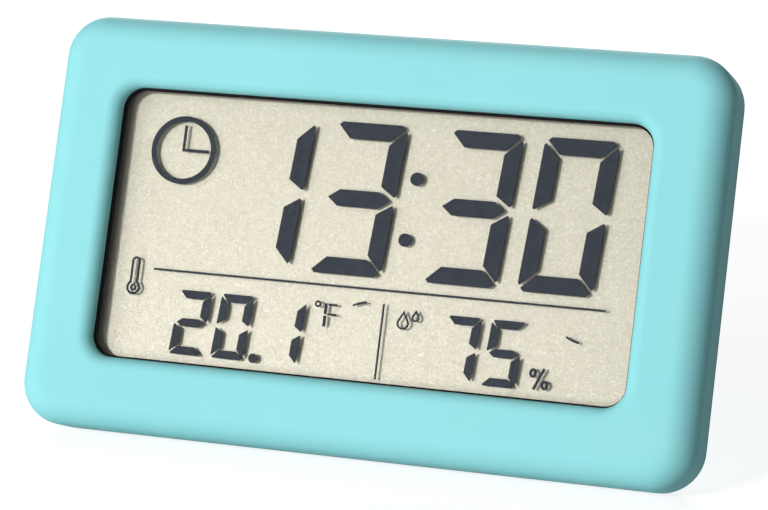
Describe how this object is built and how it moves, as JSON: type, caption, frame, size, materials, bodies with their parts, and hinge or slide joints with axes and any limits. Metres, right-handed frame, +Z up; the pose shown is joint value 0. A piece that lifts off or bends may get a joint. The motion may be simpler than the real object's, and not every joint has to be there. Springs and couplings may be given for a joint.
{
  "type": "thermometer hygrometer clock",
  "caption": "Slim soft-edged desk clock with a liquid crystal display for time, temperature and humidity, leaning back on a fold-out leg, with a hinged battery door and push buttons behind.",
  "frame": {"origin": "centre of the standing clock's footprint, on the surface it stands on", "axes": "+Z up, +X to the reader's right, -Y towards the reader; the case leans back towards +Y"},
  "size_m": [0.096, 0.0312, 0.056],
  "materials": {
    "turquoise_shell": "soft matte moulded plastic",
    "turquoise_detail": "matte moulded plastic",
    "clear_window": "clear thin acrylic",
    "black_foam": "matt black foam",
    "polariser_film": "faintly grey film",
    "display_glass": "thin clear glass",
    "seal_glue": "dark cured glue",
    "lit_segments": "dark blue grey liquid crystal",
    "silver_reflector": "fine grained silver beige film",
    "striped_rubber": "striped conductive rubber",
    "board_laminate": "green lacquered laminate",
    "chip_resin": "black resin",
    "part_body": "brown ceramic chips with plated ends",
    "switch_body": "black moulded housing",
    "switch_plunger": "moulded plunger",
    "sensor_body": "white moulded sensor",
    "bead_glass": "dark glazed bead",
    "bright_steel": "nickel plated steel",
    "contact_steel": "spring steel, nickel plated"
  },
  "bodies": {
    "case": {"front_bezel": "turquoise_shell", "window_lens": "clear_window", "display_gasket": "black_foam", "lcd_front_polariser": "polariser_film", "lcd_front_glass": "display_glass", "lcd_seal": "seal_glue", "lcd_time_segments": "lit_segments", "lcd_temperature_segments": "lit_segments", "lcd_humidity_segments": "lit_segments", "lcd_icons": "lit_segments", "lcd_rear_glass": "display_glass", "lcd_rear_polariser": "polariser_film", "lcd_reflector": "silver_reflector", "zebra_connector": "striped_rubber", "backing_foam": "black_foam", "circuit_board": "board_laminate", "chip_blob": "chip_resin", "clock_crystal": "bright_steel", "chip_components": "part_body", "button_switches": "switch_body", "humidity_sensor": "sensor_body", "thermistor": "bead_glass", "coin_cell": "bright_steel", "negative_contact": "contact_steel", "positive_contact": "contact_steel", "rear_cover": "turquoise_shell", "case_screws": "bright_steel", "board_screws": "bright_steel"},
    "leg": {"stand_leg": "turquoise_detail"},
    "door": {"battery_door": "turquoise_detail"},
    "set_button": {"set_button_cap": "turquoise_detail", "set_switch_plunger": "switch_plunger"},
    "up_button": {"up_button_cap": "turquoise_detail", "up_switch_plunger": "switch_plunger"},
    "unit_button": {"unit_button_cap": "turquoise_detail", "unit_switch_plunger": "switch_plunger"}
  },
  "joints": [
    {"name": "leg_fold", "type": "hinge", "parent": "case", "child": "leg", "pos_m": [0, 0.00678, 0.03288], "axis": [1, 0, 0], "range_deg": [-35, 0]},
    {"name": "door_swing", "type": "hinge", "parent": "case", "child": "door", "pos_m": [0.02904, -0.00147, 0.01194], "axis": [-1, 0, 0], "range_deg": [0, 75]},
    {"name": "set_press", "type": "slide", "parent": "case", "child": "set_button", "axis": [0, -0.9239, 0.3827], "range_m": [0, 0.0003], "stiffness_N_per_m": 150},
    {"name": "up_press", "type": "slide", "parent": "case", "child": "up_button", "axis": [0, -0.9239, 0.3827], "range_m": [0, 0.0003], "stiffness_N_per_m": 150},
    {"name": "unit_press", "type": "slide", "parent": "case", "child": "unit_button", "axis": [0, -0.9239, 0.3827], "range_m": [0, 0.0003], "stiffness_N_per_m": 150}
  ]
}
